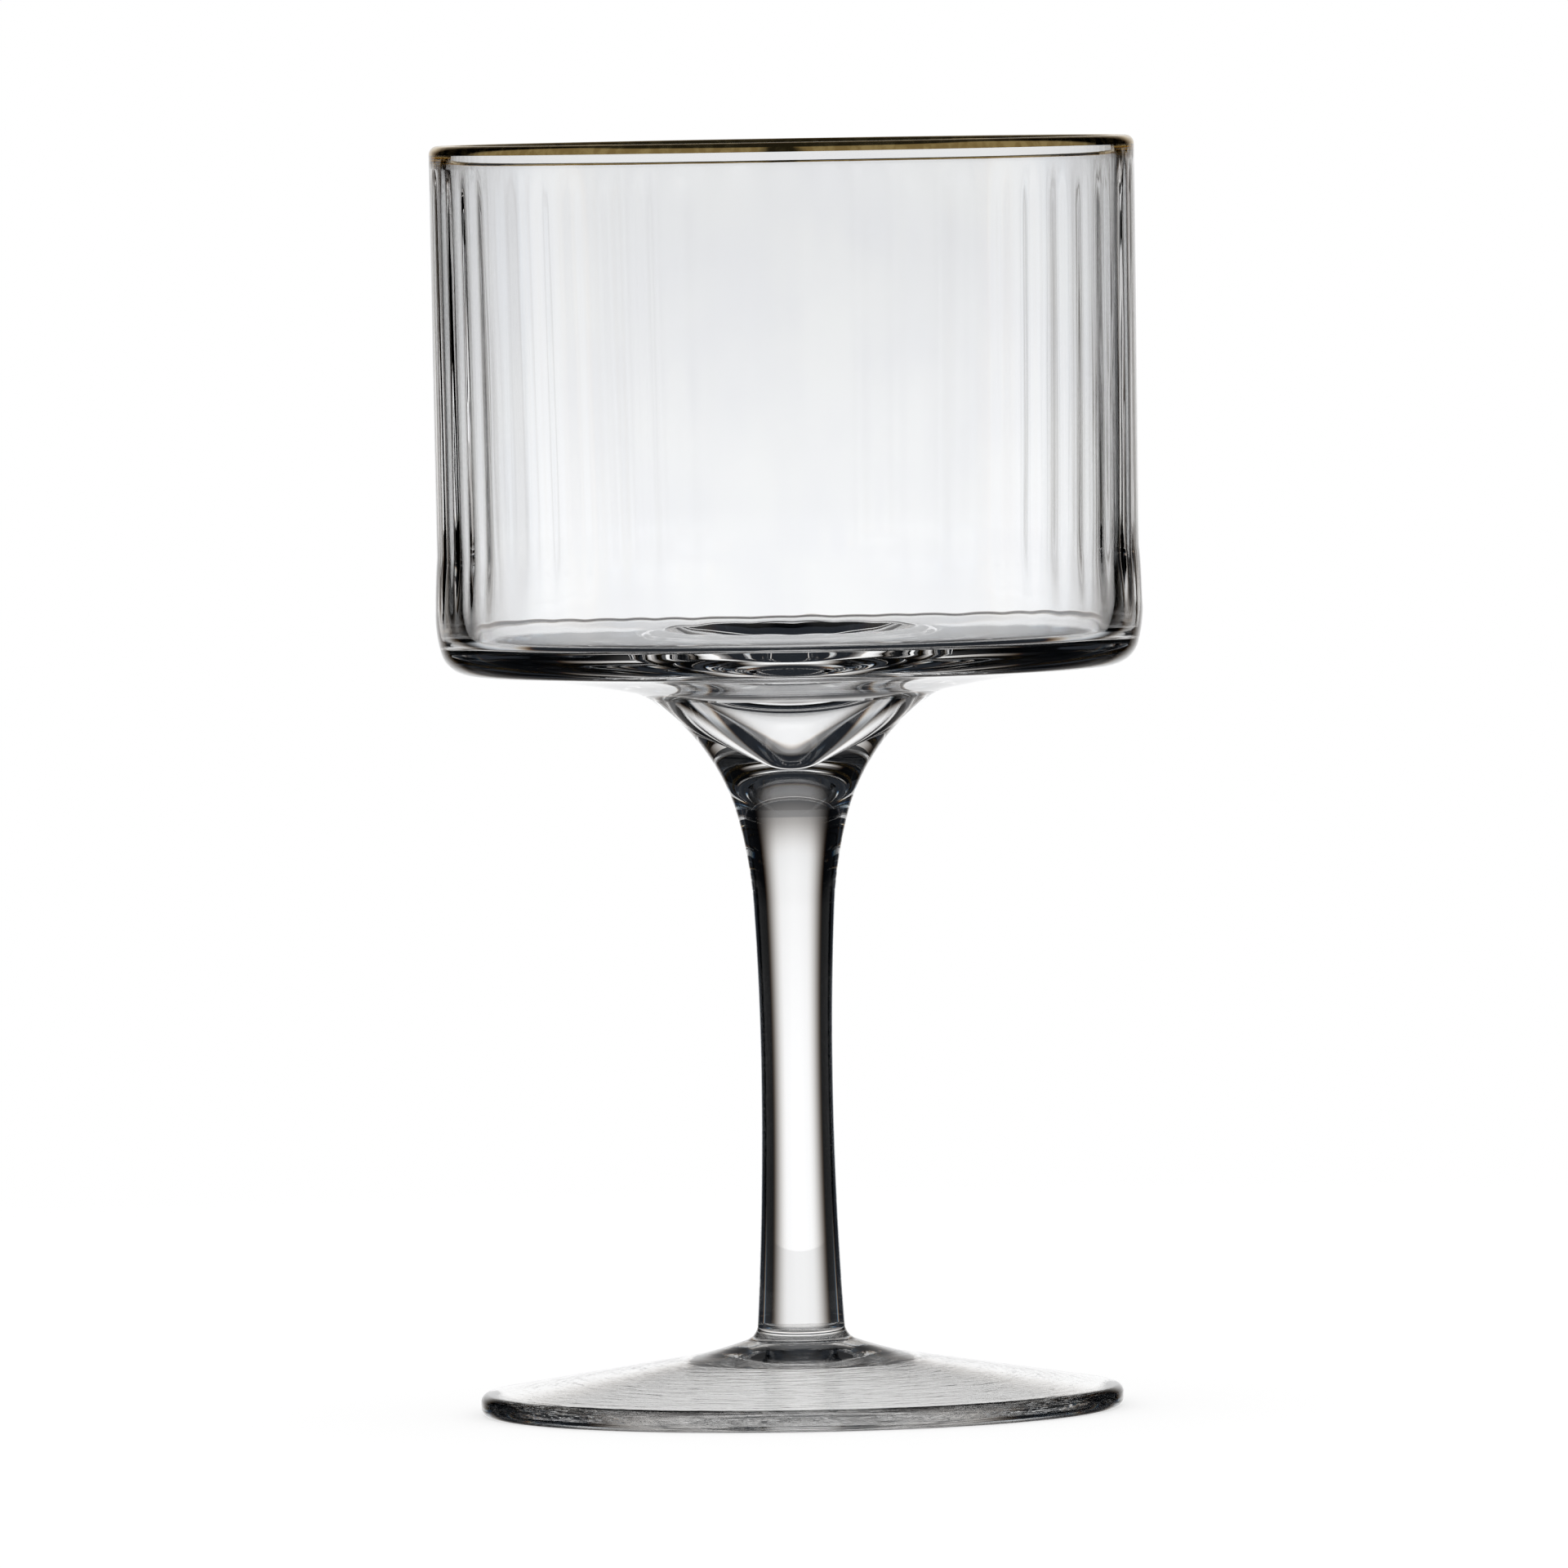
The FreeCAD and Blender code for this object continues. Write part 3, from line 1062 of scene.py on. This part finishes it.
    def hang_scrim(self) -> bpy.types.Object:
        """Hang a sheer sheet behind the glass, dimmer towards its sides and its top.

        Returns:
            The sheet.
        """
        bpy.ops.object.select_all(action="DESELECT")
        bpy.ops.mesh.primitive_plane_add(size=self.scrim_size, rotation=(math.pi / 2, 0.0, 0.0),
                                         location=(0.0, self.scrim_distance, self.scrim_middle))
        scrim = bpy.context.object
        bpy.ops.object.transform_apply(location=True, rotation=True, scale=True)
        scrim.name = "studio_scrim"
        made = bpy.data.materials.new("sheer_scrim")
        shader = Shader(made)
        part = shader.add("ShaderNodeSeparateXYZ", {}, {"Vector": shader.place()})
        aside = (part["X"].maths("ABSOLUTE") * (1 / self.scrim_distance)).maths("ARCTANGENT")
        dim = part["Z"].ramp(*self.scrim_top) * -self.scrim_top_shade + 1.0
        beside = 1 - shader.seen_by(Ray.GLOSSY, Ray.TRANSMISSION)
        beside = beside.maths("MAXIMUM", part["Z"].ramp(*self.scrim_foot))
        shades = [(self.backdrop(aside * (DEGREES * spread)).maths("SQRT") * dim).maths("MAXIMUM", beside)
                  for spread in self.spreads]
        sheer = shader.add("ShaderNodeBsdfTransparent", {}, {
            "Color": shader.add("ShaderNodeCombineColor", {}, shades)["Color"]})["BSDF"]
        shader.add("ShaderNodeOutputMaterial", {}, {"Surface": sheer})
        scrim.data.materials.append(made)
        return scrim

    def backdrop(self, azimuth: Signal) -> Signal:
        """Say how the backdrop's light falls off to its sides, by the angle from its middle."""
        return add_steps(azimuth, self.across)

    def panel(self, azimuth: Signal, height: Signal, through: Signal) -> Signal:
        """Say how bright the studio is in one direction, as the glass sees it.

        Args:
            azimuth: Degrees away from straight behind the glass, to either side.
            height: Degrees above the horizon.
            through: 1 for light that comes through the glass, which alone shows the wings.

        Returns:
            The brightness, where 1 is white.
        """
        # The scrim does the other half of the falling off, down to where it ends.
        share = add_steps(height, self.under_scrim) + 0.5
        backdrop = self.backdrop(azimuth).maths("POWER", share) * self.backdrop_level
        low = add_steps(height, self.under_horizon) + self.horizon_level
        above, below = add_steps(height, self.above), add_steps(height, self.below)
        behind = (backdrop + self.sliver.light(azimuth, height)) * low * above * below
        wings = self.sweep.light(azimuth, height) * (1 - backdrop)
        for wing in self.wings:
            wings = wings + wing.light(azimuth, height)
        return behind + wings * through

    def light(self) -> bpy.types.World:
        """Make the studio's light as the world round the glass.

        Returns:
            The world.
        """
        world = bpy.data.worlds.new("studio_light")
        bpy.context.scene.world = world
        shader = Shader(world)
        away = shader.add("ShaderNodeTexCoord", {}, {})["Generated"]
        part = shader.add("ShaderNodeSeparateXYZ", {}, {"Vector": away})
        azimuth = part["X"].maths("ARCTAN2", part["Y"]).maths("ABSOLUTE") * DEGREES
        height = part["Z"].maths("ARCSINE") * DEGREES
        through = shader.seen_by(Ray.TRANSMISSION)
        room = self.room.light(azimuth, height) * (1 - through)
        shares = [self.panel(azimuth * spread, height * spread, through) + room for spread in self.spreads]
        channels = [share + dark for share, dark in zip(shares, self.dark)]
        colour = shader.add("ShaderNodeCombineColor", {}, channels)["Color"]
        camera = shader.seen_by(Ray.CAMERA)
        clear = camera.maths("MAXIMUM", shader.seen_by(Ray.GLOSSY, Ray.TRANSMISSION))
        colour = shader.mix_colour(camera, colour, WHITE)
        colour = shader.mix_colour(clear, (self.soft, self.soft, self.soft, 1.0), colour)
        glow = shader.add("ShaderNodeBackground", {}, {"Color": colour})["Background"]
        shader.add("ShaderNodeOutputWorld", {}, {"Surface": glow})
        return world

    def build(self) -> None:
        """Set up the camera, the floor, the scrim and the light, and how colours are shown."""
        self.place_camera()
        self.lay_floor()
        self.hang_scrim()
        self.light()
        scene = bpy.context.scene
        scene.view_settings.view_transform = "Standard"
        scene.cycles.max_bounces = self.bounces
        scene.cycles.glossy_bounces = self.glossy_bounces
        scene.cycles.transmission_bounces = self.bounces
        scene.cycles.transparent_max_bounces = self.bounces


def main() -> None:
    """Build the studio and the glass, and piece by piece."""
    logging.basicConfig(level=logging.INFO, format="%(name)s: %(message)s")
    Studio().build()
    lip = Lip(NodeBox.of("gold_rim"))
    bowl_node, collar_node = NodeBox.of("bowl"), NodeBox.of("stem_collar")
    pieces = [
        GoldBand(lip).build(),
        Bowl(bowl_node, collar_node, lip).build(),
        *Stem(collar_node, NodeBox.of("stem"), bowl_node.low).build(),
        *Foot(NodeBox.of("foot_join"), NodeBox.of("foot")).build(),
    ]
    for piece in pieces:
        log.info("%s: %d faces", piece.name, len(piece.data.polygons))


if __name__ == "__main__":
    main()
